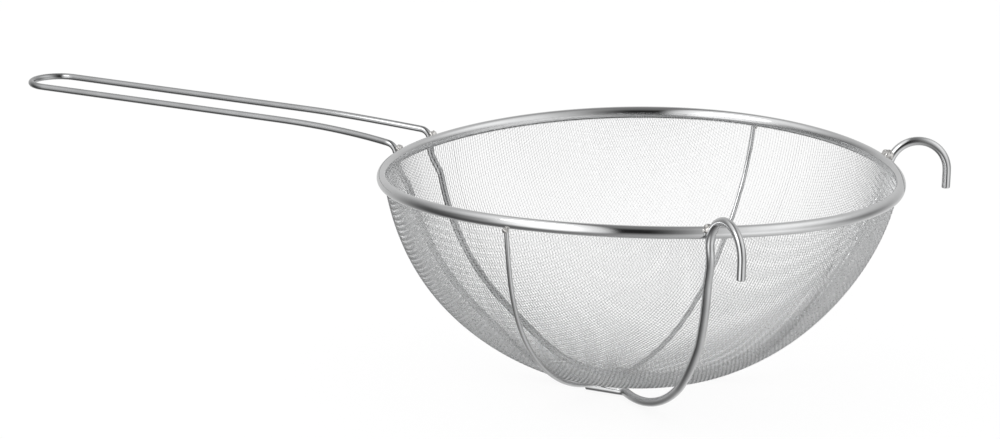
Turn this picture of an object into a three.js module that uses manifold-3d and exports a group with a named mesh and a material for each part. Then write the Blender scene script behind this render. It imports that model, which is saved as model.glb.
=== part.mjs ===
// Wire-mesh colander: woven bowl in a rolled rim, one long handle wire, two hook wires and a rib.
// Millimetres, +Z up, handle along -X, hooks on the +X side. Built round the bowl's axis with z = 0
// at the middle of the rim, then set down with the origin at the bottom centre of its bounding box.
import * as THREE from 'three';
import { mergeVertices } from 'three/addons/utils/BufferGeometryUtils.js';
import Module from 'manifold-3d';

const wasm = await Module();
wasm.setup();

// Clearance left between pieces that touch on the real object
const gap = 0.3;

// Rim: a strip rolled into an oval tube round a core wire, open below where the mesh goes in
const rimRadius = 130;
const rimWidth = 5.2;
const rimHeight = 6;
const rimWall = 0.5;
const rimMiddle = rimRadius - rimWidth / 2;
// The hoop is bent a little out of flat: low near the handle, high a quarter turn on
const hoopBend = 2.56;
const hoopBendTurn = 17;
// Below the rim the bowl and its wires sit this far towards the handle, reached at the given depth
const bowlLean = 2.5;
const bowlLeanDepth = 70;

// Bowl of woven wire, as a thin shell of its outer shape: lower part of an ellipsoid. A coarse grid of
// openings stands for the weave, up to a plain band below the rim
const meshThickness = 0.5;
const hemInner = rimRadius - rimWidth + rimWall + gap;
const hemOuter = hemInner + meshThickness;
const hemTop = 0.6;
const bowlDepth = 105.9;
const bowlCentre = 19.3;
const bowlHalfHeight = bowlDepth + bowlCentre;
// The bottom is pressed up a little, most at the axis
const bowlFlat = 1.4;
const bowlFlatRadius = 60;
const bowlMouth = -rimHeight / 2;
const bowlHalfWidth = hemOuter / Math.sqrt(1 - ((bowlMouth - bowlCentre) / bowlHalfHeight) ** 2);
const meshColumns = 24;
const meshRows = 6;
const meshBarShare = 0.22;
const meshBand = 4;
// Columns that share one opening in the two rows nearest the bottom, where they are narrow
const meshJoined = [6, 2];
const coreWire = rimRadius - rimWall - hemOuter - 2 * gap;

// Rib under the bowl, from rim to rim across the handle direction
const ribWire = 2.4;
const ribEndX = -2.4;
const ribLean = 6.3;
const ribSway = 6;
const ribEndZ = -rimHeight / 2 - 1.5 * gap;
const ribStandoff = gap + ribWire / 2;

// Handle wire: a hairpin whose two legs go down outside the rim and under the bowl
const handleWire = 3.3;
const handleReach = 366.2;
const handleLift = 7.6;
const handleHalfGap = 14;
const handleWaist = 13.5;
const handleHalfGapAtRim = 16.6;
const handleHalfGapBelow = 11;
const handleDroop = 3.2;
const handleDroopStart = -205;
const handleBend = 5.5;
const handleLegBlend = 15;
const handleLegEnd = -81.6;
const handleSweepTop = 26.8;
const handleSweepFoot = 28.3;
const handleRunStart = -19.6;
const handleRunEnd = -0.8;

// Hook wires: an open hook outside the rim, a leg down the bowl, a foot and a short tail
const hookWire = 4.3;
const hookAngle = 47.7;
const hookLegTurn = 3.2;
const hookOut = 1.65;
const hookBaseRadius = rimRadius + hookOut;
const hookSpan = 29.6;
const hookAim = 33;
const hookTop = 9.3;
const hookTip = -14.8;
const hookLegBlend = 22;
const hookLegEnd = -90;
const hookLegBow = 3.4;
const hookSweepTop = 32;
const hookSweepFoot = 18.3;
const hookFoot = new THREE.Vector2(7.1, 18.1);
const hookKink = new THREE.Vector2(3.4, 14.8);
const hookTailEnd = -18;
const hookTailHalfGap = handleHalfGapBelow + handleWire / 2 + gap + hookWire / 2;

// Feet are rubbed flat by this much where the wires rest
const footFlat = 0.25;

// Facets
const hoopSegments = 64;
const wireSides = 8;

const radians = THREE.MathUtils.degToRad;
const smooth = (t) => THREE.MathUtils.smoothstep(t, 0, 1);
const mix = THREE.MathUtils.lerp;

// Radius and height of a surface that stands off the outside of the bowl
function bowlRadiusAt(z, standoff) {
  const t = (z - bowlCentre) / (bowlHalfHeight + standoff);
  return (bowlHalfWidth + standoff) * Math.sqrt(Math.max(0, 1 - t * t));
}

const bowlRiseAt = (r) => bowlFlat * Math.max(0, 1 - (r / bowlFlatRadius) ** 2) ** 2;

function bowlHeightAt(r, standoff) {
  const t = r / (bowlHalfWidth + standoff);
  return bowlCentre - (bowlHalfHeight + standoff) * Math.sqrt(Math.max(0, 1 - t * t)) + bowlRiseAt(r);
}

// Unit direction down a meridian of that surface, as radius and height
function bowlSlopeAt(z, standoff) {
  const r = bowlRadiusAt(z, standoff);
  const across = (bowlCentre - z) / (bowlHalfHeight + standoff) ** 2;
  const along = r / (bowlHalfWidth + standoff) ** 2;
  return new THREE.Vector2(-across, -along).normalize();
}

function ribX(turn) {
  return ribEndX + (ribSway * Math.sin(turn) - ribLean) * Math.cos(turn) ** 2;
}

// The handle wires rest on the ground right below the rib, which lies on the bowl
const crossingX = (side) => ribX(side * Math.asin(handleHalfGapBelow / bowlHalfWidth));
const crossingZ = bowlHeightAt(Math.hypot(crossingX(1), handleHalfGapBelow), ribStandoff);
const restZ = crossingZ - ribWire / 2 - gap - handleWire;
const handleRunZ = restZ + handleWire / 2;
const hookRunZ = restZ + hookWire / 2;

// The bent hoop lowers or lifts every piece with it, least at the axis, and the bowl leans to the handle
function bend(geometry) {
  const p = geometry.attributes.position;
  for (let i = 0; i < p.count; i++) {
    const turn = Math.atan2(p.getY(i), p.getX(i)) - radians(hoopBendTurn);
    const share = Math.min(1, Math.hypot(p.getX(i), p.getY(i)) / rimRadius) ** 2;
    const lean = bowlLean * smooth(-p.getZ(i) / bowlLeanDepth);
    p.setZ(i, p.getZ(i) - hoopBend * share * Math.cos(2 * turn));
    p.setX(i, p.getX(i) - lean);
  }
  return geometry;
}

// One closed skin: shared corners, no collapsed triangles
function closed(geometry) {
  geometry.deleteAttribute('normal');
  geometry.deleteAttribute('uv');
  const merged = mergeVertices(geometry, 1e-4);
  const index = merged.index.array;
  const kept = [];
  for (let i = 0; i < index.length; i += 3) {
    const [a, b, c] = [index[i], index[i + 1], index[i + 2]];
    if (a !== b && b !== c && c !== a) kept.push(a, b, c);
  }
  merged.setIndex(kept);
  return bend(merged);
}

function toSolid(geometry) {
  return new wasm.Manifold(new wasm.Mesh({
    numProp: 3,
    vertProperties: new Float32Array(geometry.attributes.position.array),
    triVerts: new Uint32Array(geometry.index.array),
  }));
}

function toGeometry(solid) {
  const mesh = solid.getMesh();
  const geometry = new THREE.BufferGeometry();
  geometry.setAttribute('position', new THREE.BufferAttribute(mesh.vertProperties, 3));
  geometry.setIndex(new THREE.BufferAttribute(mesh.triVerts, 1));
  return geometry;
}

// A wire's centre line with one ring of the section at every listed point
class WirePath extends THREE.CatmullRomCurve3 {
  getUtoTmapping(u) {
    return u;
  }
}

function wire(points, diameter) {
  const section = new THREE.Shape();
  for (let i = 0; i < wireSides; i++) {
    const t = (2 * Math.PI * i) / wireSides;
    const corner = [Math.cos(t) * diameter / 2, Math.sin(t) * diameter / 2];
    if (i === 0) section.moveTo(...corner);
    else section.lineTo(...corner);
  }
  const path = new WirePath(points);
  return closed(new THREE.ExtrudeGeometry(section, { steps: points.length - 1, extrudePath: path }));
}

// Turns a closed outline of radius and height about the bowl's axis
function turned(outline) {
  const points = outline.map(([r, z]) => new THREE.Vector2(r, z));
  return closed(new THREE.LatheGeometry(points, hoopSegments).rotateX(Math.PI / 2));
}

function oval(grow, t) {
  return [rimMiddle + (rimWidth / 2 + grow) * Math.cos(t), (rimHeight / 2 + grow) * Math.sin(t)];
}

// Where the lip of the rim's slit stands at a given radius, on the outer or inner face of the strip
function lipAngle(r, grow) {
  return Math.PI + Math.acos(Math.min(1, (rimMiddle - r) / (rimWidth / 2 + grow)));
}

function rimBand() {
  const steps = 11;
  const outline = [];
  const face = (grow, from, to) => {
    for (let i = 0; i <= steps; i++) outline.push(oval(grow, mix(from, to, i / steps)));
  };
  const turn = 2 * Math.PI;
  face(0, lipAngle(hemOuter + gap, 0), turn + lipAngle(hemInner - gap, 0));
  face(-rimWall, turn + lipAngle(hemInner - gap, -rimWall), lipAngle(hemOuter + gap, -rimWall));
  outline.push(outline[0]);
  return turned(outline);
}

// The rim as a full ring, grown by the clearance, to cut weld beads to shape
function rimAllowance() {
  const steps = 16;
  const outline = [];
  for (let i = 0; i <= steps; i++) outline.push(oval(gap, (2 * Math.PI * (i % steps)) / steps));
  return turned(outline);
}

function rimCore() {
  const middle = hemOuter + gap + coreWire / 2;
  const outline = [];
  for (let i = 0; i <= wireSides; i++) {
    const t = (2 * Math.PI * (i % wireSides)) / wireSides;
    outline.push([middle + Math.cos(t) * coreWire / 2, Math.sin(t) * coreWire / 2]);
  }
  return turned(outline);
}

// Outer and inner radius and height at each line of the bowl's grid, from the bottom to the hem
function meshProfile() {
  const half = meshBarShare / 2;
  const lines = [0];
  for (let row = 0; row < meshRows; row++) lines.push(row + half, row + 1 - half);
  const bandTurn = Math.acos((bowlCentre - bowlMouth + meshBand) / bowlHalfHeight);
  const profile = lines.map((line) => {
    const [s, c] = [Math.sin((bandTurn * line) / meshRows), Math.cos((bandTurn * line) / meshRows)];
    const rise = bowlRiseAt(bowlHalfWidth * s);
    const face = (grow) => [(bowlHalfWidth + grow) * s, bowlCentre - (bowlHalfHeight + grow) * c + rise];
    return [face(0), face(-meshThickness)];
  });
  profile.push([[hemOuter, bowlMouth], [hemInner, bowlMouth]], [[hemOuter, hemTop], [hemInner, hemTop]]);
  return profile;
}

// Whether a strip of the grid is open: every column has a bar and two strips, every row a bar and one strip
function meshOpen(strip, line) {
  const row = (line - 1) / 2;
  if (line % 2 !== 1 || row >= meshRows) return false;
  const period = 3 * (meshJoined[row] ?? 1);
  const fromBar = THREE.MathUtils.euclideanModulo(strip, period);
  return Math.min(fromBar, period - fromBar) > (row === 0 ? 1 : 0);
}

function meshBowl() {
  const profile = meshProfile();
  const strips = 3 * meshColumns;
  const corner = (strip, line, face) => {
    const column = Math.floor(strip / 3) + [-meshBarShare / 2, meshBarShare / 2, 0.5][strip % 3];
    const turn = (2 * Math.PI * column) / meshColumns;
    const [r, z] = profile[line][face];
    return [r * Math.cos(turn), r * Math.sin(turn), z];
  };
  const corners = [];
  const quad = (a, b, c, d) => corners.push(...a, ...b, ...c, ...a, ...c, ...d);
  const last = profile.length - 1;
  for (let i = 0; i < strips; i++) {
    for (let j = 0; j < last; j++) {
      if (meshOpen(i, j)) continue;
      const ring = [[i, j], [(i + 1) % strips, j], [(i + 1) % strips, j + 1], [i, j + 1]];
      const beside = [[i, j - 1], [i + 1, j], [i, j + 1], [i - 1, j]];
      quad(...ring.map(([u, v]) => corner(u, v, 0)));
      quad(...ring.map(([u, v]) => corner(u, v, 1)).reverse());
      beside.forEach(([u, v], k) => {
        if (v !== last && !meshOpen(u, v)) return;
        const [p, q] = [ring[k], ring[(k + 1) % 4]];
        quad(corner(...p, 0), corner(...p, 1), corner(...q, 1), corner(...q, 0));
      });
    }
  }
  const geometry = new THREE.BufferGeometry();
  geometry.setAttribute('position', new THREE.Float32BufferAttribute(corners, 3));
  return closed(geometry);
}

function ribPath() {
  const steps = 32;
  const endY = Math.sqrt(bowlRadiusAt(ribEndZ, ribStandoff) ** 2 - ribEndX ** 2);
  const endTurn = Math.asin(endY / (bowlHalfWidth + ribStandoff));
  const points = [];
  for (let i = 0; i <= steps; i++) {
    const turn = mix(-endTurn, endTurn, i / steps);
    const [x, y] = [ribX(turn), (bowlHalfWidth + ribStandoff) * Math.sin(turn)];
    points.push(new THREE.Vector3(x, y, bowlHeightAt(Math.hypot(x, y), ribStandoff)));
  }
  return points;
}

// One side of the handle wire, from the end of the loop to the end under the bowl
function handleSide(side) {
  const points = [];
  const add = (x, y, z) => points.push(new THREE.Vector3(x, side * y, z));
  for (let i = 0; i <= 7; i++) {
    const t = Math.PI - (Math.PI / 2) * (i / 7);
    add(handleHalfGap - handleReach + handleHalfGap * Math.cos(t), handleHalfGap * Math.sin(t), handleLift);
  }
  for (const t of [0.25, 0.5, 0.75]) {
    add(mix(-handleReach, handleDroopStart, t), mix(handleHalfGap, handleWaist, t), handleLift);
  }
  const standoff = gap + handleWire / 2;
  const rimX = -Math.sqrt((rimRadius + standoff) ** 2 - handleHalfGapAtRim ** 2);
  const bendZ = handleLift - handleDroop - handleBend;
  for (let i = 0; i < 6; i++) {
    const t = i / 6;
    const y = mix(handleWaist, handleHalfGapAtRim, t ** 3);
    add(mix(handleDroopStart, rimX - handleBend, t), y, handleLift - handleDroop * t * t);
  }
  for (let i = 0; i <= 6; i++) {
    const t = (Math.PI / 2) * (1 - i / 6);
    add(rimX - handleBend + handleBend * Math.cos(t), handleHalfGapAtRim, bendZ + handleBend * Math.sin(t));
  }
  const legTop = -rimHeight * 0.6;
  const legSteps = 14;
  for (let i = 0; i <= legSteps; i++) {
    const z = mix(legTop, handleLegEnd, i / legSteps);
    const r = mix(rimRadius + standoff, bowlRadiusAt(z, standoff), smooth((legTop - z) / handleLegBlend));
    const y = mix(handleHalfGapAtRim, handleHalfGapBelow, i / legSteps);
    add(-Math.sqrt(r * r - y * y), y, z);
  }
  const start = points.pop();
  const slope = bowlSlopeAt(handleLegEnd, standoff).multiplyScalar(handleSweepTop);
  const end = new THREE.Vector3(handleRunStart, side * handleHalfGapBelow, handleRunZ);
  const sweep = new THREE.CubicBezierCurve3(
    start,
    start.clone().add(new THREE.Vector3(-slope.x, 0, slope.y)),
    end.clone().add(new THREE.Vector3(-handleSweepFoot, 0, 0)),
    end,
  );
  points.push(...sweep.getPoints(9));
  for (const t of [1 / 3, 2 / 3, 1]) {
    add(mix(handleRunStart, handleRunEnd, t), handleHalfGapBelow, handleRunZ);
  }
  return points;
}

function handlePath() {
  return [...handleSide(-1).reverse(), ...handleSide(1).slice(1)];
}

function hookPath(side) {
  const points = [];
  const add = (x, y, z) => points.push(new THREE.Vector3(x, side * y, z));
  const arch = hookSpan / 2;
  const archZ = hookTop - arch;
  const base = new THREE.Vector2(Math.cos(radians(hookAngle)), Math.sin(radians(hookAngle)));
  base.multiplyScalar(hookBaseRadius);
  const aim = new THREE.Vector2(Math.cos(radians(hookAim)), Math.sin(radians(hookAim)));
  add(base.x + hookSpan * aim.x, base.y + hookSpan * aim.y, hookTip);
  for (let i = 0; i <= 14; i++) {
    const t = Math.PI * (i / 14);
    const out = arch + arch * Math.cos(t);
    add(base.x + out * aim.x, base.y + out * aim.y, archZ + arch * Math.sin(t));
  }
  const standoff = gap + hookWire / 2;
  const legSteps = 14;
  for (let i = 1; i <= legSteps; i++) {
    const t = i / legSteps;
    const z = mix(archZ, hookLegEnd, t);
    const lie = bowlRadiusAt(z, standoff + hookLegBow * t * t);
    const r = mix(hookBaseRadius, lie, smooth((archZ - z) / hookLegBlend));
    const turn = radians(hookAngle - hookLegTurn * Math.min(1, 1.5 * t));
    add(r * Math.cos(turn), r * Math.sin(turn), z);
  }
  const start = points.pop();
  const slope = bowlSlopeAt(hookLegEnd, standoff + hookLegBow).multiplyScalar(hookSweepTop);
  const turn = radians(hookAngle - hookLegTurn);
  const end = new THREE.Vector3(hookFoot.x, side * hookFoot.y, hookRunZ);
  const kink = new THREE.Vector3(hookKink.x, side * hookKink.y, hookRunZ);
  const along = kink.clone().sub(end).normalize();
  const sweep = new THREE.CubicBezierCurve3(
    start,
    start.clone().add(new THREE.Vector3(slope.x * Math.cos(turn), side * slope.x * Math.sin(turn), slope.y)),
    end.clone().addScaledVector(along, -hookSweepFoot),
    end,
  );
  points.push(...sweep.getPoints(10));
  points.push(end.clone().lerp(kink, 0.5), end.clone().lerp(kink, 0.9));
  const tailStart = new THREE.Vector3(hookKink.x - 4, side * hookTailHalfGap, hookRunZ);
  points.push(kink.clone().lerp(tailStart, 0.3), kink.clone().lerp(tailStart, 0.75));
  add(hookKink.x - 6, hookTailHalfGap, hookRunZ);
  add(hookTailEnd, hookTailHalfGap, hookRunZ);
  return points;
}

// Takes the flats off the undersides that rest on the ground, and room for a wire that crosses above
const floor = toSolid(mergeVertices(stripped(new THREE.BoxGeometry(300, 300, 10))));

function stripped(geometry) {
  geometry.deleteAttribute('normal');
  geometry.deleteAttribute('uv');
  return geometry;
}

function withFlats(geometry, crossing) {
  const flat = toSolid(geometry).subtract(floor.translate([0, 0, restZ + footFlat - 5]));
  return toGeometry(flat.subtract(crossing));
}

// A weld bead: an egg-shaped lump, turned about Z, less the pieces that it joins
function bead(at, radii, turn, joined) {
  const lump = new THREE.SphereGeometry(1, 12, 8).scale(...radii).rotateZ(turn).translate(...at);
  let solid = toSolid(closed(lump));
  for (const piece of joined) solid = solid.subtract(piece);
  return toGeometry(solid);
}

function atRim(r, turn, z) {
  return [r * Math.cos(turn), r * Math.sin(turn), z];
}

const steel = new THREE.MeshStandardMaterial({ color: 0xc8cbce, roughness: 0.22, metalness: 1 });
const polished = new THREE.MeshStandardMaterial({ color: 0xd2d4d6, roughness: 0.12, metalness: 1 });
const woven = new THREE.MeshStandardMaterial({ color: 0xb9bcbf, roughness: 0.45, metalness: 0.9 });
const weldMetal = new THREE.MeshStandardMaterial({ color: 0xa8a49d, roughness: 0.4, metalness: 1 });

const colander = new THREE.Group();
colander.name = 'wire_mesh_colander';

function addPiece(name, geometry, material) {
  const flat = geometry.toNonIndexed();
  flat.computeVertexNormals();
  const piece = new THREE.Mesh(flat, material);
  piece.name = name;
  colander.add(piece);
}

const grown = (points, diameter) => toSolid(wire(points, diameter + 2 * gap));
const handleGrown = grown(handlePath(), handleWire);
const ribGrown = grown(ribPath(), ribWire);
const rimGrown = toSolid(rimAllowance());

addPiece('mesh_bowl', meshBowl(), woven);
addPiece('rim_band', rimBand(), polished);
addPiece('rim_core_wire', rimCore(), steel);
addPiece('rib_wire', wire(ribPath(), ribWire), steel);
addPiece('handle_wire', withFlats(wire(handlePath(), handleWire), ribGrown), steel);

for (const [side, name] of [[-1, 'front'], [1, 'rear']]) {
  const hookGrown = grown(hookPath(side), hookWire);
  addPiece(`hook_wire_${name}`, withFlats(wire(hookPath(side), hookWire), ribGrown), steel);

  const handleTurn = Math.PI - side * Math.asin(handleHalfGapAtRim / rimRadius);
  const handlePlace = atRim(rimRadius + 0.5, handleTurn, rimHeight * 0.4);
  const handleBead = bead(handlePlace, [1.9, 2.4, 1.7], handleTurn, [rimGrown, handleGrown]);
  addPiece(`handle_weld_${name}`, handleBead, weldMetal);

  const hookTurn = side * radians(hookAngle - 0.2);
  const hookPlace = atRim(hookBaseRadius - 0.85, hookTurn, rimHeight * 0.36);
  const hookBead = bead(hookPlace, [2.3, 2.8, 2], hookTurn, [rimGrown, hookGrown]);
  addPiece(`hook_weld_${name}`, hookBead, weldMetal);

  const ribTurn = side * (Math.PI / 2 - ribEndX / rimMiddle);
  const ribPlace = atRim(rimMiddle + 1.7, ribTurn, ribEndZ - 0.2);
  const ribBead = bead(ribPlace, [1.3, 1.5, 1.4], ribTurn, [rimGrown, ribGrown]);
  addPiece(`rib_weld_${name}`, ribBead, weldMetal);

  const lapX = handleRunEnd - 1.7;
  const lapPlace = [lapX, side * (handleHalfGapBelow + handleWire / 2 + gap / 2), restZ + handleWire + 0.4];
  const lapBead = bead(lapPlace, [1.6, 1.4, 1.3], 0, [handleGrown, hookGrown]);
  addPiece(`lap_weld_${name}`, lapBead, weldMetal);

  const crossPlace = [crossingX(side) + ribWire * 0.9, side * handleHalfGapBelow, restZ + handleWire + 0.5];
  const crossBead = bead(crossPlace, [1.4, 1.5, 1.3], 0, [handleGrown, ribGrown]);
  addPiece(`crossing_weld_${name}`, crossBead, weldMetal);
}

const box = new THREE.Box3().setFromObject(colander);
const middle = box.getCenter(new THREE.Vector3());
for (const piece of colander.children) piece.geometry.translate(-middle.x, -middle.y, -box.min.z);

export default colander;
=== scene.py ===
import math
import bpy
import numpy as np
from mathutils import Matrix, Vector


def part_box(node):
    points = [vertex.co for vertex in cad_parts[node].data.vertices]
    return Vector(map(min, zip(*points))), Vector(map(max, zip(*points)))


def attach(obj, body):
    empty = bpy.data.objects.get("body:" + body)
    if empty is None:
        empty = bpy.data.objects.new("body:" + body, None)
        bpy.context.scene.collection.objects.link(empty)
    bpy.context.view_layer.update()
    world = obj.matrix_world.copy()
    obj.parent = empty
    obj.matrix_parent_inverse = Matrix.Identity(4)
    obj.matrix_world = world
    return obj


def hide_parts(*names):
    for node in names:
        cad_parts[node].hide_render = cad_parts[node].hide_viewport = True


# Wire-mesh colander. Shapes are worked out in millimetres round the bowl's axis, z = 0 at the middle
# of the rim, then bent with the hoop and put in the row frame in metres.
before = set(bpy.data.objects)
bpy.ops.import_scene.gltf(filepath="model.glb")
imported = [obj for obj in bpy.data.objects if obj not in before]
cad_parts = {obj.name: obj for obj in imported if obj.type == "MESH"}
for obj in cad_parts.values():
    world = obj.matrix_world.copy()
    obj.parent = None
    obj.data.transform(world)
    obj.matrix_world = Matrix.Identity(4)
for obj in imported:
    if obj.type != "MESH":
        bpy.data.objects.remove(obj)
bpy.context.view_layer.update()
rimLow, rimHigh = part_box("rim_band")
rimCentre = np.array((rimLow + rimHigh) / 2)
mm = 0.001
print("frame loaded, rim centre", rimCentre.round(4))

hoop = {
    "radius": 130.0, "width": 5.2, "height": 6.0, "wall": 0.5, "gap": 0.3,
    "bend": 2.56, "bendTurn": 17.0,     # out of flat, low near the handle
    "lean": 2.5, "leanDepth": 70.0,     # bowl below the rim sits towards the handle
    "aroundSteps": 360, "outerSteps": 60, "innerSteps": 30,
}
cloth = {
    "thickness": 0.5, "depth": 105.9, "centre": 19.3, "flat": 1.4, "flatRadius": 60.0, "top": -0.4,
    "pitch": 1.55, "wire": 0.32, "waveShare": 0.5, "ringShare": 0.58, "turn": -12.0,
    "arcEnd": 1.75, "arcSteps": 4000, "rounds": 6, "netTop": 12.0, "bands": 4, "bakeSpan": 0.27,
}

hemInner = hoop["radius"] - hoop["width"] + hoop["wall"] + hoop["gap"]
hemOuter = hemInner + cloth["thickness"]
halfHeight = cloth["depth"] + cloth["centre"]
halfWidth = hemOuter / math.sqrt(1 - ((-hoop["height"] / 2 - cloth["centre"]) / halfHeight) ** 2)


# bent hoop: z drops by bend * cos(2 * turn), full at the rim, fading with the square of the radius;
# leaning bowl: x drops by lean, eased in from the rim down to the lean depth
def placed(p):
    turn = np.arctan2(p[..., 1], p[..., 0]) - math.radians(hoop["bendTurn"])
    share = np.minimum(np.hypot(p[..., 0], p[..., 1]) / hoop["radius"], 1) ** 2
    out = np.array(p, float)
    out[..., 2] -= hoop["bend"] * share * np.cos(2 * turn)
    out[..., 0] -= hoop["lean"] * smoothStep(-p[..., 2] / hoop["leanDepth"])
    return out * mm + rimCentre


# ellipsoid a little outside the bowl: r = a sqrt(1 - ((z - c) / b)^2), and below the same solved for z
def bowlRadius(z, standoff):
    t = (z - cloth["centre"]) / (halfHeight + standoff)
    return (halfWidth + standoff) * np.sqrt(np.maximum(0, 1 - t * t))


# the bottom is pressed up: flat * (1 - (r / R)^2)^2 inside the radius R
def bowlRise(r):
    return cloth["flat"] * np.maximum(0, 1 - (r / cloth["flatRadius"]) ** 2) ** 2


def bowlHeight(r, standoff):
    t = r / (halfWidth + standoff)
    return cloth["centre"] - (halfHeight + standoff) * np.sqrt(np.maximum(0, 1 - t * t)) + bowlRise(r)


# unit step down a meridian of that ellipsoid, as (radius, height)
def bowlSlope(z, standoff):
    across = (cloth["centre"] - z) / (halfHeight + standoff) ** 2
    along = bowlRadius(z, standoff) / (halfWidth + standoff) ** 2
    return -np.array((across, along)) / math.hypot(across, along)


def mix(a, b, t):
    return a + (b - a) * t


def smoothStep(t):
    t = np.clip(t, 0, 1)
    return t * t * (3 - 2 * t)


def unit(v):
    return v / np.linalg.norm(v, axis=-1, keepdims=True)


def xyz(x, y, z):
    return np.stack(np.broadcast_arrays(x, y, z), -1).astype(float)


# cubic sweep between two points with given end pulls
def sweepCurve(a, pullA, b, pullB, count):
    t = np.linspace(0, 1, count)[:, None]
    return (1-t)**3 * a + 3*t*(1-t)**2 * (a + pullA) + 3*t*t*(1-t) * (b + pullB) + t**3 * b


# even spacing along the line, then a running mean over a short span to take out corners
def eased(points, step, span):
    run = np.r_[0, np.cumsum(np.linalg.norm(np.diff(points, axis=0), axis=1))]
    keep = np.r_[True, np.diff(run) > 1e-6]
    count = int(run[-1] / step) + 1
    even = np.linspace(0, run[-1], count)
    line = np.stack([np.interp(even, run[keep], points[keep, k]) for k in range(3)], -1)
    half = int(span / step / 2)
    head = line[0] + (line[0] - line[1]) * np.arange(half, 0, -1)[:, None]
    tail = line[-1] + (line[-1] - line[-2]) * np.arange(1, half + 1)[:, None]
    kernel = np.hanning(2 * half + 3)[1:-1]
    kernel /= kernel.sum()
    long = np.concatenate([head, line, tail])
    return np.stack([np.convolve(long[:, k], kernel, "valid") for k in range(3)], -1)


# mesh from whole arrays; every face array has its own corner count
def addPiece(name, points, faceArrays, material, nodes, uv=None):
    mesh = bpy.data.meshes.new(name)
    corners = np.concatenate([f.ravel() for f in faceArrays]).astype(np.int32)
    sizes = np.concatenate([np.full(len(f), f.shape[1], np.int32) for f in faceArrays])
    starts = np.r_[0, np.cumsum(sizes)[:-1]].astype(np.int32)
    mesh.vertices.add(len(points))
    mesh.vertices.foreach_set("co", np.ascontiguousarray(points, np.float32).ravel())
    mesh.loops.add(len(corners))
    mesh.loops.foreach_set("vertex_index", corners)
    mesh.polygons.add(len(sizes))
    mesh.polygons.foreach_set("loop_start", starts)
    mesh.polygons.foreach_set("use_smooth", np.full(len(sizes), True))
    mesh.update(calc_edges=True)
    mesh.validate()
    if uv is not None:
        layer = mesh.uv_layers.new(name=uv[0])
        layer.data.foreach_set("uv", np.ascontiguousarray(uv[1][corners], np.float32).ravel())
    mesh.materials.append(material)
    piece = bpy.data.objects.new(name, mesh)
    bpy.context.collection.objects.link(piece)
    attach(piece, "root")
    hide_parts(*nodes)


def newMaterial(name):
    mat = bpy.data.materials.new(name)
    mat.use_nodes = True
    tree = mat.node_tree
    tree.nodes.clear()
    out = tree.nodes.new("ShaderNodeOutputMaterial")
    shader = tree.nodes.new("ShaderNodeBsdfPrincipled")
    tree.links.new(shader.outputs["BSDF"], out.inputs["Surface"])
    return mat, tree, shader


grain = {"cloudScale": 60, "cloudDetail": 3, "lineDetail": 2, "noiseSpan": (0.3, 0.7), "bumpStrength": 0.25}


def addNoise(tree, source, scale, detail, stretch=(1, 1, 1)):
    place = tree.nodes.new("ShaderNodeMapping")
    place.inputs["Scale"].default_value = stretch
    noise = tree.nodes.new("ShaderNodeTexNoise")
    noise.inputs["Scale"].default_value = scale
    noise.inputs["Detail"].default_value = detail
    tree.links.new(source, place.inputs["Vector"])
    tree.links.new(place.outputs["Vector"], noise.inputs["Vector"])
    return noise.outputs["Fac"]


def addRange(tree, value, low, high):
    span = tree.nodes.new("ShaderNodeMapRange")
    span.inputs["From Min"].default_value, span.inputs["From Max"].default_value = grain["noiseSpan"]
    span.inputs["To Min"].default_value = low
    span.inputs["To Max"].default_value = high
    tree.links.new(value, span.inputs["Value"])
    return span.outputs["Result"]


def addTint(tree, value, dark, light):
    ramp = tree.nodes.new("ShaderNodeValToRGB")
    for stop, position, colour in zip(ramp.color_ramp.elements, grain["noiseSpan"], (dark, light)):
        stop.position = position
        stop.color = (*colour, 1)
    tree.links.new(value, ramp.inputs["Fac"])
    return ramp.outputs["Color"]


def addBump(tree, shader, value, strength, distance):
    bump = tree.nodes.new("ShaderNodeBump")
    bump.inputs["Strength"].default_value = strength
    bump.inputs["Distance"].default_value = distance
    tree.links.new(value, bump.inputs["Height"])
    tree.links.new(bump.outputs["Normal"], shader.inputs["Normal"])


# steel finish: cloudy tint and roughness, with fine lines from drawing or rolling
def steelFinish(name, dark, light, rough, lines, stretch, bumpSize, useRun=False, metallic=1.0):
    mat, tree, shader = newMaterial(name)
    where = tree.nodes.new("ShaderNodeTexCoord")
    cloudy = addNoise(tree, where.outputs["Object"], grain["cloudScale"], grain["cloudDetail"])
    lineSource = where.outputs["UV"] if useRun else where.outputs["Object"]
    fine = addNoise(tree, lineSource, lines, grain["lineDetail"], stretch)
    tree.links.new(addTint(tree, cloudy, dark, light), shader.inputs["Base Color"])
    tree.links.new(addRange(tree, fine, *rough), shader.inputs["Roughness"])
    shader.inputs["Metallic"].default_value = metallic
    addBump(tree, shader, fine, grain["bumpStrength"], bumpSize)
    return mat


rimFinish = steelFinish("polished_rim_steel", dark=(0.74, 0.745, 0.75), light=(0.8, 0.805, 0.81),
                        rough=(0.04, 0.09), lines=500, stretch=(1, 1, 4), bumpSize=0.00002)
wireFinish = steelFinish("drawn_wire_steel", dark=(0.66, 0.665, 0.67), light=(0.74, 0.745, 0.75),
                         rough=(0.1, 0.18), lines=1, stretch=(60, 9, 1), bumpSize=0.00003, useRun=True)
# the handle's steel is the drawn wire steel made about a third darker: painted shade that dims the handle's
# reflections
shadedHandleFinish = steelFinish("handle_wire_steel_painted_shade", dark=(0.42, 0.425, 0.43), light=(0.5, 0.505, 0.51),
                           rough=(0.1, 0.18), lines=1, stretch=(60, 9, 1), bumpSize=0.00003, useRun=True)
clothFinish = steelFinish("woven_cloth_steel", dark=(0.83, 0.835, 0.84), light=(0.91, 0.915, 0.92),
                          rough=(0.24, 0.38), lines=900, stretch=(1, 1, 1), bumpSize=0.00001, metallic=0.8)
weldFinish = steelFinish("weld_steel", dark=(0.6, 0.585, 0.565), light=(0.8, 0.79, 0.775),
                         rough=(0.2, 0.38), lines=700, stretch=(1, 1, 1), bumpSize=0.0002)
print("finishes made")


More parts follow.
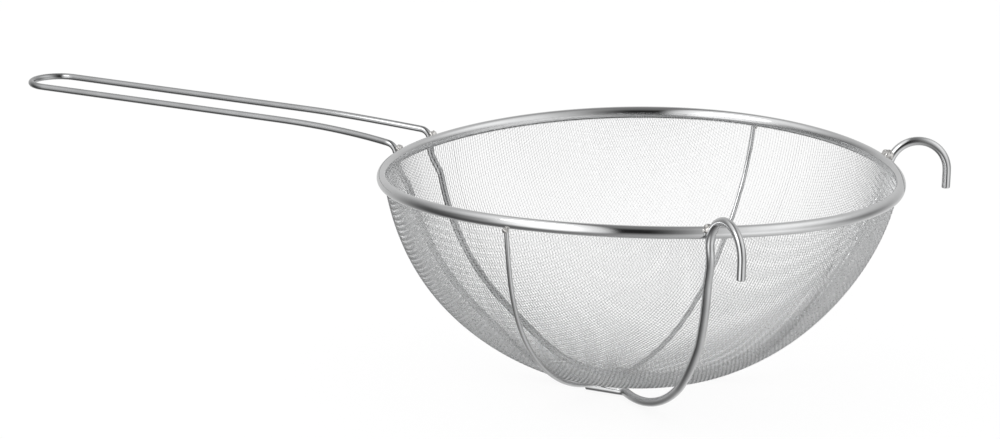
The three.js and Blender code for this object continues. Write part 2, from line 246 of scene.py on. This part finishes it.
# woven cloth: a net whose wires keep their length. Two meridians at right angles carry the first crossings;
# each next one lies one pitch from its two neighbours and on the bowl, found a whole diagonal row at a time
def pressedNet():
    a, b, c = halfWidth - cloth["thickness"] / 2, halfHeight - cloth["thickness"] / 2, cloth["centre"]
    p = cloth["pitch"]
    turn = np.linspace(0, cloth["arcEnd"], cloth["arcSteps"])
    arc = np.r_[0, np.cumsum(np.hypot(np.diff(a * np.sin(turn)), np.diff(b * np.cos(turn))))]
    count = int(arc[-1] / p)
    first = np.interp(np.arange(count) * p, arc, turn)
    net = np.full((count, count, 3), np.nan)
    net[:, 0] = xyz(a * np.sin(first), 0, c - b * np.cos(first))
    net[0, :] = xyz(0, a * np.sin(first), c - b * np.cos(first))
    scale = 2 / np.array((a * a, a * a, b * b))
    middle = np.array((0, 0, c))
    for row in range(2, 2 * count - 1):
        i = np.arange(max(1, row - count + 1), min(row, count))
        j = row - i
        left, down = net[i - 1, j], net[i, j - 1]
        known = np.isfinite(left[:, 2]) & np.isfinite(down[:, 2])
        if not known.any():
            continue
        i, j, left, down = i[known], j[known], left[known], down[known]
        q = left + down - net[i - 1, j - 1]
        for closer in range(cloth["rounds"]):
            slope = np.stack([2 * (q - left), 2 * (q - down), (q - middle) * scale], 1)
            miss = np.stack([((q - left) ** 2).sum(1) - p * p, ((q - down) ** 2).sum(1) - p * p,
                             ((q - middle) ** 2 * scale / 2).sum(1) - 1], 1)
            q = q - np.linalg.solve(slope, miss[..., None])[..., 0]
        q[(q[:, 2] > cloth["netTop"]) | (q[:, 0] < 0) | (q[:, 1] < 0)] = np.nan
        net[i, j] = q
    half = np.concatenate([net[:0:-1] * (-1, 1, 1), net])
    full = np.concatenate([half[:, :0:-1] * (1, -1, 1), half], axis=1)
    normal = unit((full - middle) / np.array((a * a, a * a, b * b)))
    full[..., 2] += bowlRise(np.hypot(full[..., 0], full[..., 1]))
    side, ahead = math.sin(math.radians(cloth["turn"])), math.cos(math.radians(cloth["turn"]))
    spin = np.array(((ahead, side, 0), (-side, ahead, 0), (0, 0, 1)))
    return full @ spin, normal @ spin


# one set of wires: rings of three points at every crossing, pushed out and in by turns, joined along axis 0
def clothWires(net, normal, over, name):
    inside = net[..., 2] < cloth["top"]
    index = np.add.outer(np.arange(net.shape[0]), np.arange(net.shape[1]))
    wave = np.where(index % 2 == over, 1.0, -1.0)[..., None] * cloth["wire"] * cloth["waveShare"]
    ahead = np.concatenate([net[1:], net[-1:]])
    behind = np.concatenate([net[:1], net[:-1]])
    ahead = np.where(np.isfinite(ahead), ahead, net)
    behind = np.where(np.isfinite(behind), behind, net)
    along = ahead - behind
    along /= np.maximum(np.linalg.norm(along, axis=-1, keepdims=True), 1e-9)
    across = np.cross(along, normal)
    turns = np.arange(3) * 2 * np.pi / 3
    ring = np.cos(turns)[:, None, None, None] * normal + np.sin(turns)[:, None, None, None] * across
    ring *= cloth["wire"] * cloth["ringShare"]
    points = placed((net + wave * normal + ring).transpose(1, 2, 0, 3))
    weights = np.cumsum(inside.sum(0))
    edges = np.searchsorted(weights, np.linspace(0, weights[-1], cloth["bands"] + 1))
    edges[0], edges[-1] = 0, net.shape[1]
    for band in range(cloth["bands"]):
        part = slice(edges[band], edges[band + 1])
        kept = inside[:, part]
        ids = np.cumsum(kept).reshape(kept.shape) - 1
        joined = kept[:-1] & kept[1:]
        starts, ends = ids[:-1][joined] * 3, ids[1:][joined] * 3
        quads = np.concatenate([np.stack([starts + k, ends + k, ends + (k + 1) % 3, starts + (k + 1) % 3], -1)
                                for k in range(3)])
        none = np.zeros((1, kept.shape[1]), bool)
        first = ids[kept & ~np.concatenate([none, kept[:-1]])] * 3
        last = ids[kept & ~np.concatenate([kept[1:], none])] * 3
        caps = np.concatenate([first[:, None] + (0, 1, 2), last[:, None] + (2, 1, 0)])
        corners = points[part].transpose(1, 0, 2, 3)[kept].reshape(-1, 3)
        uv = (corners[:, :2] - rimCentre[:2]) / cloth["bakeSpan"] + 0.5
        addPiece(f"{name}_{band + 1}", corners, [quads, caps], clothFinish, ["mesh_bowl"],
                 ("OFBake", uv))


net, netNormal = pressedNet()
clothWires(net, netNormal, 0, "cloth_warp")
clothWires(net.transpose(1, 0, 2), netNormal.transpose(1, 0, 2), 1, "cloth_weft")
print("cloth woven,", int((net[..., 2] < cloth["top"]).sum()), "crossings")


# rolled rim: the strip's outer oval and inner oval, open at the slit, carried round the hoop
def rimPiece():
    middle = hoop["radius"] - hoop["width"] / 2

    def lip(r, grow):
        return math.pi + math.acos(min(1, (middle - r) / (hoop["width"] / 2 + grow)))

    def face(grow, start, end, count):
        t = np.linspace(start, end, count)
        return np.stack([middle + (hoop["width"] / 2 + grow) * np.cos(t),
                         (hoop["height"] / 2 + grow) * np.sin(t)], -1)

    low, high, wall = hemOuter + hoop["gap"], hemInner - hoop["gap"], -hoop["wall"]
    outline = np.concatenate([
        face(0, lip(low, 0), 2 * math.pi + lip(high, 0), hoop["outerSteps"]),
        face(wall, 2 * math.pi + lip(high, wall), lip(low, wall), hoop["innerSteps"])])
    steps, count = hoop["aroundSteps"], len(outline)
    around = np.arange(steps)[:, None] * 2 * np.pi / steps
    points = xyz(outline[:, 0] * np.cos(around), outline[:, 0] * np.sin(around), outline[:, 1])
    i, k = np.meshgrid(np.arange(steps), np.arange(count), indexing="ij")
    i2, k2 = (i + 1) % steps, (k + 1) % count
    quads = np.stack([i*count + k, i2*count + k, i2*count + k2, i*count + k2], -1).reshape(-1, 4)
    addPiece("rolled_rim", placed(points).reshape(-1, 3), [quads], rimFinish, ["rim_band"])


rimPiece()
print("rim rolled")

# points on each stretch of a wire before it is evened out, and the rounding of its ends
bending = {
    "loop": 40, "droop": 40, "bend": 24, "leg": 120, "sweep": 60, "arch": 60, "rib": 300,
    "endEdge": 0.09, "endShares": (0.0, 0.3, 1.0),
}


# round wire: ring of points r (cos a n + sin a b) at each point of the path, ends rounded off and capped
def wirePiece(name, path, settings, normals, material, node, ground=None):
    diameter, sides = settings["wire"], settings["sides"]
    r, edge = diameter / 2, diameter * bending["endEdge"]
    headStep, tailStep = unit(path[1] - path[0]), unit(path[-2] - path[-1])
    shares = np.array(bending["endShares"])
    head = path[0] + headStep * edge * shares[:, None]
    tail = (path[-1] + tailStep * edge * shares[:, None])[::-1]
    line = np.concatenate([head, path[1:-1], tail])
    drop = edge * shares[::-1]
    radii = np.r_[r - drop, np.full(len(path) - 2, r), r - drop[::-1]]
    n = np.concatenate([normals[[0, 0, 0]], normals[1:-1], normals[[-1, -1, -1]]])
    t = unit(np.gradient(line, axis=0))
    n = unit(n - (n * t).sum(-1, keepdims=True) * t)
    b = np.cross(t, n)
    a = np.arange(sides) * 2 * np.pi / sides
    ring = np.cos(a)[:, None, None] * n + np.sin(a)[:, None, None] * b
    points = placed((line + radii[:, None] * ring).transpose(1, 0, 2)).reshape(-1, 3)
    if ground is not None:
        points[:, 2] = np.maximum(points[:, 2], ground)    # flats where the wire rests
    count = len(line)
    i, k = np.meshgrid(np.arange(count - 1), np.arange(sides), indexing="ij")
    k2 = (k + 1) % sides
    quads = np.stack([i*sides + k, i*sides + k2, (i+1)*sides + k2, (i+1)*sides + k], -1).reshape(-1, 4)
    caps = np.stack([np.arange(sides)[::-1], np.arange(sides) + (count - 1) * sides])
    run = np.r_[0, np.cumsum(np.linalg.norm(np.diff(line, axis=0), axis=1))] * mm
    uv = np.stack([np.repeat(run, sides), np.tile(np.abs(a / np.pi - 1), count)], -1)
    addPiece(name, points, [quads, caps], material, [node], ("run", uv))


def sideNormals(path, across):
    return np.cross(np.broadcast_to(across, path.shape), np.gradient(path, axis=0))


rib = {"wire": 2.4, "sides": 14, "endX": -2.4, "lean": 6.3, "sway": 6.0, "step": 1.0, "ease": 4.0}
ribStandoff = hoop["gap"] + rib["wire"] / 2


# rib: y = a sin(turn) on the ellipsoid outside the bowl, x = end + (sway sin(turn) - lean) cos^2(turn)
def ribX(turn):
    return rib["endX"] + (rib["sway"] * np.sin(turn) - rib["lean"]) * np.cos(turn) ** 2


def ribPath():
    endZ = -hoop["height"] / 2 - hoop["gap"] / 2
    endY = math.sqrt(bowlRadius(endZ, ribStandoff) ** 2 - rib["endX"] ** 2)
    turn = np.linspace(-1, 1, bending["rib"]) * math.asin(endY / (halfWidth + ribStandoff))
    x, y = ribX(turn), (halfWidth + ribStandoff) * np.sin(turn)
    return eased(xyz(x, y, bowlHeight(np.hypot(x, y), ribStandoff)), rib["step"], rib["ease"])


ribLine = ribPath()
wirePiece("rib", ribLine, rib, sideNormals(ribLine, (1.0, 0, 0)), wireFinish, "rib_wire")

handle = {
    "wire": 3.3, "sides": 18, "reach": 366.2, "lift": 7.6, "halfGap": 14.0, "waist": 13.5, "loopLength": 30.0,
    "halfGapAtRim": 16.6, "halfGapBelow": 11.0, "droop": 3.2, "droopStart": -205.0, "bend": 5.5,
    "legTopShare": 0.6, "legBlend": 15.0, "legEnd": -81.6, "sweepTop": 26.8, "sweepFoot": 28.3,
    "runStart": -19.6, "runEnd": -0.8, "step": 0.6, "ease": 4.0,
}
# the handle wires rest on the ground right below the rib, which lies on the bowl
crossX = ribX(math.asin(handle["halfGapBelow"] / halfWidth))
crossZ = bowlHeight(math.hypot(crossX, handle["halfGapBelow"]), ribStandoff)
restZ = crossZ - rib["wire"] / 2 - hoop["gap"] - handle["wire"]


# one side of the handle wire: half loop, straight, droop to the rim, quarter bend, leg down the bowl,
# sweep, run
def handleSide(side):
    h, standoff = handle, hoop["gap"] + handle["wire"] / 2
    t = np.linspace(math.pi, math.pi / 2, bending["loop"])
    loop = xyz(h["halfGap"] - h["reach"] + h["halfGap"] * np.cos(t), h["halfGap"] * np.sin(t), h["lift"])
    rimX = -math.sqrt((hoop["radius"] + standoff) ** 2 - h["halfGapAtRim"] ** 2)
    t = np.linspace(0, 1, bending["droop"])
    droop = xyz(mix(h["droopStart"], rimX - h["bend"], t), mix(h["waist"], h["halfGapAtRim"], t ** 3),
                h["lift"] - h["droop"] * t * t)
    t = np.linspace(math.pi / 2, 0, bending["bend"])
    bendZ = h["lift"] - h["droop"] - h["bend"]
    bend = xyz(rimX - h["bend"] + h["bend"] * np.cos(t), h["halfGapAtRim"], bendZ + h["bend"] * np.sin(t))
    legTop = -hoop["height"] * h["legTopShare"]
    t = np.linspace(0, 1, bending["leg"])
    z = mix(legTop, h["legEnd"], t)
    lie = smoothStep((legTop - z) / h["legBlend"])
    r = mix(hoop["radius"] + standoff, bowlRadius(z, standoff), lie)
    y = mix(h["halfGapAtRim"], h["halfGapBelow"], t)
    leg = xyz(-np.sqrt(r * r - y * y), y, z)
    slope = bowlSlope(h["legEnd"], standoff) * h["sweepTop"]
    runZ = restZ + h["wire"] / 2
    runStart = np.array((h["runStart"], h["halfGapBelow"], runZ))
    down, back = np.array((-slope[0], 0, slope[1])), np.array((-h["sweepFoot"], 0, 0))
    sweep = sweepCurve(leg[-1], down, runStart, back, bending["sweep"])
    run = np.array(((h["runEnd"], h["halfGapBelow"], runZ),))
    return np.concatenate([loop, droop, bend, leg, sweep, run]) * (1, side, 1)


def handlePath():
    both = np.concatenate([handleSide(-1)[::-1], handleSide(1)[1:]])
    return eased(both, handle["step"], handle["ease"])


handleLine = handlePath()
# the loop's rings stand on Z, the legs' rings on Y, and both agree on the straight
inLoop = (handleLine[:, 0] < handle["halfGap"] - handle["reach"] + handle["loopLength"])[:, None]
legAcross = xyz(0.0, -np.sign(handleLine[:, 1]), 0.0)
handleNormals = np.where(inLoop, (0.0, 0, 1), np.cross(legAcross, np.gradient(handleLine, axis=0)))
# the handle wire takes the darkened steel, with its painted shade
wirePiece("handle", handleLine, handle, handleNormals, shadedHandleFinish, "handle_wire", ground=0.0)

hook = {
    "wire": 4.3, "sides": 20, "angle": 47.7, "legTurn": 3.2, "turnRate": 1.5, "baseRadius": 131.65,
    "span": 29.6, "aim": 33.0, "top": 9.3, "tip": -14.8, "legBlend": 22.0, "legEnd": -90.0, "legBow": 3.4,
    "sweepTop": 32.0, "sweepFoot": 18.3, "foot": (7.1, 18.1), "kink": (3.4, 14.8), "kinkLength": 4.0,
    "tailEnd": -18.0, "step": 0.6, "ease": 6.0, "acrossTurn": 45.0,
}


# hook wire: tip, half-round arch, leg lying down the bowl, sweep to the foot, run to the kink, tail
def hookPath(side):
    h, arch = hook, hook["span"] / 2
    archZ = h["top"] - arch
    angle, aim = math.radians(h["angle"]), math.radians(h["aim"])
    base = h["baseRadius"] * np.array((math.cos(angle), math.sin(angle)))
    t = np.linspace(0, math.pi, bending["arch"])
    out = arch + arch * np.cos(t)
    bow = xyz(base[0] + out * math.cos(aim), base[1] + out * math.sin(aim), archZ + arch * np.sin(t))
    tip = bow[:1] + (0, 0, h["tip"] - archZ)
    standoff = hoop["gap"] + h["wire"] / 2
    t = np.linspace(0, 1, bending["leg"])[1:]
    z = mix(archZ, h["legEnd"], t)
    lie = smoothStep((archZ - z) / h["legBlend"])
    r = mix(h["baseRadius"], bowlRadius(z, standoff + h["legBow"] * t * t), lie)
    turn = np.radians(h["angle"] - h["legTurn"] * np.minimum(1, h["turnRate"] * t))
    leg = xyz(r * np.cos(turn), r * np.sin(turn), z)
    slope = bowlSlope(h["legEnd"], standoff + h["legBow"]) * h["sweepTop"]
    runZ = restZ + h["wire"] / 2
    foot, kink = np.array((*h["foot"], runZ)), np.array((*h["kink"], runZ))
    pull = np.array((slope[0] * math.cos(turn[-1]), slope[0] * math.sin(turn[-1]), slope[1]))
    sweep = sweepCurve(leg[-1], pull, foot, unit(foot - kink) * h["sweepFoot"], bending["sweep"])
    tailY = handle["halfGapBelow"] + handle["wire"] / 2 + hoop["gap"] + h["wire"] / 2
    tail = np.array((kink, (h["kink"][0] - h["kinkLength"], tailY, runZ), (h["tailEnd"], tailY, runZ)))
    return eased(np.concatenate([tip, bow, leg, sweep, tail]) * (1, side, 1), h["step"], h["ease"])


for side, place in ((-1, "front"), (1, "rear")):
    hookLine = hookPath(side)
    turn = math.radians(hook["acrossTurn"])
    hookNormals = sideNormals(hookLine, (math.sin(turn), -side * math.cos(turn), 0))
    wirePiece(f"hook_{place}", hookLine, hook, hookNormals, wireFinish, f"hook_wire_{place}", ground=0.0)
print("wires bent")

weld = {
    "grow": 1.02, "hookGrow": 1.3, "ripples": (0.10, 0.07), "shift": 1.7,
    "aroundSteps": 32, "upSteps": 18,
}


# weld bead: egg of radii (along, across, up) with a few slow ripples, on a grid of two angles
def weldPiece(name, node, shift, grow):
    low, high = (np.array(v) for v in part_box(node))
    centre, size = (low + high) / 2, (high - low) / 2
    steps, (broad, narrow) = weld["aroundSteps"], weld["ripples"]
    around, up = np.arange(steps) * 2 * np.pi / steps, np.linspace(0, np.pi, weld["upSteps"])[1:-1]
    u, v = np.meshgrid(around, up, indexing="ij")
    ripple = 1 + broad * np.sin(3 * u + shift) * np.sin(2 * v) + narrow * np.sin(5 * u + 2 * shift + 3 * v)
    egg = xyz(np.cos(u) * np.sin(v), np.sin(u) * np.sin(v), np.cos(v))
    points = centre + size * grow * (ripple[..., None] * egg)
    count = points.shape[1]
    i, k = np.meshgrid(np.arange(steps), np.arange(count - 1), indexing="ij")
    i2 = (i + 1) % steps
    quads = np.stack([i*count + k, i*count + k + 1, i2*count + k + 1, i2*count + k], -1).reshape(-1, 4)
    caps = np.stack([np.arange(steps) * count, (np.arange(steps) * count + count - 1)[::-1]])
    addPiece(name, points.reshape(-1, 3), [quads, caps], weldFinish, [node])


welds = [f"{kind}_weld_{place}" for kind in ("handle", "hook", "rib", "lap", "crossing")
         for place in ("front", "rear")]
for number, node in enumerate(welds):
    grow = weld["hookGrow"] if node.startswith("hook") else weld["grow"]
    weldPiece(f"{node}_bead", node, weld["shift"] * number, grow)
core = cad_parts["rim_core_wire"]
core.data.materials.clear()
core.data.materials.append(rimFinish)
print("welds laid")

# floor: pale, white to the camera but for part of the shadow
stage = {"floorSize": 40.0, "floorDrop": 0.0003, "shadowShare": 0.12, "floorColour": 0.86, "floorRough": 0.9}


def makeFloor():
    mat, tree, shader = newMaterial("studio_floor")
    shader.inputs["Base Color"].default_value = (stage["floorColour"],) * 3 + (1,)
    shader.inputs["Roughness"].default_value = stage["floorRough"]
    light = tree.nodes.new("ShaderNodeLightPath")
    white = tree.nodes.new("ShaderNodeEmission")
    white.inputs["Strength"].default_value = 1.0
    both = tree.nodes.new("ShaderNodeMixShader")
    share = addMath(tree, "MULTIPLY", light.outputs["Is Camera Ray"], 1 - stage["shadowShare"])
    tree.links.new(share, both.inputs["Fac"])
    tree.links.new(shader.outputs["BSDF"], both.inputs[1])
    tree.links.new(white.outputs["Emission"], both.inputs[2])
    out = next(n for n in tree.nodes if n.type == "OUTPUT_MATERIAL")
    tree.links.new(both.outputs["Shader"], out.inputs["Surface"])
    s, z = stage["floorSize"] / 2, -stage["floorDrop"]
    mesh = bpy.data.meshes.new("floor")
    mesh.from_pydata([(-s, -s, z), (s, -s, z), (s, s, z), (-s, s, z)], [], [(0, 1, 2, 3)])
    mesh.materials.append(mat)
    floor = bpy.data.objects.new("floor", mesh)
    bpy.context.collection.objects.link(floor)
    floor.visible_glossy = False         # the metal sees the room instead


def addMath(tree, kind, a, b):
    node = tree.nodes.new("ShaderNodeMath")
    node.operation = kind
    for socket, value in zip(node.inputs, (a, b)):
        if isinstance(value, (int, float)):
            socket.default_value = value
        else:
            tree.links.new(value, socket)
    return node.outputs[0]


makeFloor()

# surroundings: white to the camera; the metal sees two broad soft boxes, left and right of the camera, with
# a dark gap between them overhead, a pale backdrop behind and a floor, dim on the left, light on the right
room = {
    "left": 0.85, "leftEdge": (0.15, 0.33), "leftEnd": (-0.31, 1.09), "leftFoot": (-1.0, -0.31),
    "hot": 0.6, "hotEdge": (0.3, 0.51), "hotEnd": (0.27, 0.62),
    "right": 0.97, "rightEdge": (0.0, 0.9), "rightEnd": (-0.67, 0.91), "rightFoot": (-1.04, -0.45),
    "backdrop": 0.4, "backdropEdge": (0.3, 0.97), "gap": 0.02, "overhead": 0.2, "overheadEdge": (-0.53, 0.87),
    "belowLeft": 0.06, "belowRise": 0.56, "belowEdge": (-0.8, 0.7), "floorEdge": (-0.06, -0.95), "fill": 1.2,
}
cameraTurn = 30.0


def makeRoom():
    world = bpy.data.worlds.new("studio")
    bpy.context.scene.world = world
    world.use_nodes = True
    tree = world.node_tree
    tree.nodes.clear()
    out = tree.nodes.new("ShaderNodeOutputWorld")
    back = tree.nodes.new("ShaderNodeBackground")
    where = tree.nodes.new("ShaderNodeTexCoord")
    turned = tree.nodes.new("ShaderNodeMapping")
    turned.inputs["Rotation"].default_value = (0, 0, math.radians(90 - cameraTurn))
    parts = tree.nodes.new("ShaderNodeSeparateXYZ")
    tree.links.new(where.outputs["Generated"], turned.inputs["Vector"])
    tree.links.new(turned.outputs["Vector"], parts.inputs["Vector"])
    near, right, up = parts.outputs          # towards the camera, to its right, up
    left = addMath(tree, "MULTIPLY", right, -1.0)
    far = addMath(tree, "MULTIPLY", near, -1.0)
    behind = addMath(tree, "SUBTRACT", up, near)
    leaning = addMath(tree, "ADD", near, addMath(tree, "MAXIMUM", up, 0.0))

    # eased step from 0 to the level between the two ends of an edge
    def rise(value, edge, level=1.0):
        step = tree.nodes.new("ShaderNodeMapRange")
        step.interpolation_type = "SMOOTHSTEP"
        step.inputs["From Min"].default_value, step.inputs["From Max"].default_value = room[edge]
        step.inputs["To Max"].default_value = level
        tree.links.new(value, step.inputs["Value"])
        return step.outputs["Result"]

    def joined(kind, level, *others):
        for value in others:
            level = addMath(tree, kind, level, value)
        return level

    leftSheet = joined("MULTIPLY", rise(left, "leftEdge", room["left"]), rise(leaning, "leftEnd"))
    hotStrip = joined("MULTIPLY", rise(left, "hotEdge", room["hot"]), rise(near, "hotEnd"))
    leftBox = joined("MULTIPLY", joined("ADD", leftSheet, hotStrip), rise(up, "leftFoot"))
    rightBox = joined("MULTIPLY", rise(right, "rightEdge", room["right"]), rise(leaning, "rightEnd"),
                      rise(up, "rightFoot"))
    backdrop = rise(far, "backdropEdge", room["backdrop"])
    sideShare = joined("ADD", rise(right, "belowEdge", room["belowRise"]), room["belowLeft"])
    below = joined("MULTIPLY", rise(up, "floorEdge"), sideShare)
    overhead = rise(behind, "overheadEdge", room["overhead"])
    seen = joined("ADD", leftBox, rightBox, backdrop, below, overhead, room["gap"])
    light = tree.nodes.new("ShaderNodeLightPath")
    change = addMath(tree, "SUBTRACT", seen, room["fill"])
    metal = addMath(tree, "MULTIPLY", light.outputs["Is Glossy Ray"], change)
    plain = addMath(tree, "ADD", metal, room["fill"])
    direct = addMath(tree, "MAXIMUM", light.outputs["Is Camera Ray"], light.outputs["Is Transmission Ray"])
    tree.links.new(addMath(tree, "MAXIMUM", direct, plain), back.inputs["Strength"])
    tree.links.new(back.outputs["Background"], out.inputs["Surface"])
    back.inputs["Color"].default_value = (1, 1, 1, 1)


makeRoom()

# soft lamp from the left and above, for the soft shade of the wires on the cloth
keyLamp = {"place": (-0.6, -1.7, 1.5), "aim": (0.1, 0, 0.06), "size": 1.2, "power": 8}


def makeLamp():
    data = bpy.data.lights.new("key_lamp", "AREA")
    data.shape = "DISK"
    data.size = keyLamp["size"]
    data.energy = keyLamp["power"]
    lamp = bpy.data.objects.new("key_lamp", data)
    lamp.location = keyLamp["place"]
    ahead = Vector(keyLamp["aim"]) - Vector(keyLamp["place"])
    lamp.rotation_euler = ahead.to_track_quat("-Z", "Y").to_euler()
    bpy.context.collection.objects.link(lamp)


makeLamp()

# camera: fitted to the rim; the image is 1000 x 439
view = {
    "distance": 2.08, "elevation": 14.04, "roll": 0.44, "focalPx": 4224.0, "rimAt": (640.9, 173.1),
    "image": (1000, 439), "sensorWidth": 36.0, "clipEnd": 100,
}


def makeCamera():
    turn, lift, roll = (math.radians(v) for v in (cameraTurn, view["elevation"], view["roll"]))
    right = np.array((math.cos(turn), math.sin(turn), 0))
    away = np.array((-math.sin(turn), math.cos(turn), 0))
    back = -math.cos(lift) * away + math.sin(lift) * np.array((0, 0, 1))
    up = np.cross(back, right)
    rightTurned = math.cos(roll) * right + math.sin(roll) * up
    upTurned = math.cos(roll) * up - math.sin(roll) * right
    width, height = view["image"]
    sight = unit(np.array(((view["rimAt"][0] - width / 2) / view["focalPx"],
                           -(view["rimAt"][1] - height / 2) / view["focalPx"], 1.0)))
    spot = rimCentre - view["distance"] * (sight[0] * rightTurned + sight[1] * upTurned - sight[2] * back)
    data = bpy.data.cameras.new("camera")
    data.sensor_fit = "HORIZONTAL"
    data.sensor_width = view["sensorWidth"]
    data.lens = view["focalPx"] / width * data.sensor_width
    data.clip_end = view["clipEnd"]
    camera = bpy.data.objects.new("camera", data)
    axes = np.eye(4)
    axes[:3, 0], axes[:3, 1], axes[:3, 2], axes[:3, 3] = rightTurned, upTurned, back, spot
    camera.matrix_world = Matrix(axes.tolist())
    bpy.context.collection.objects.link(camera)
    bpy.context.scene.camera = camera


makeCamera()
bpy.context.scene.view_settings.view_transform = "Standard"
print("stage set")
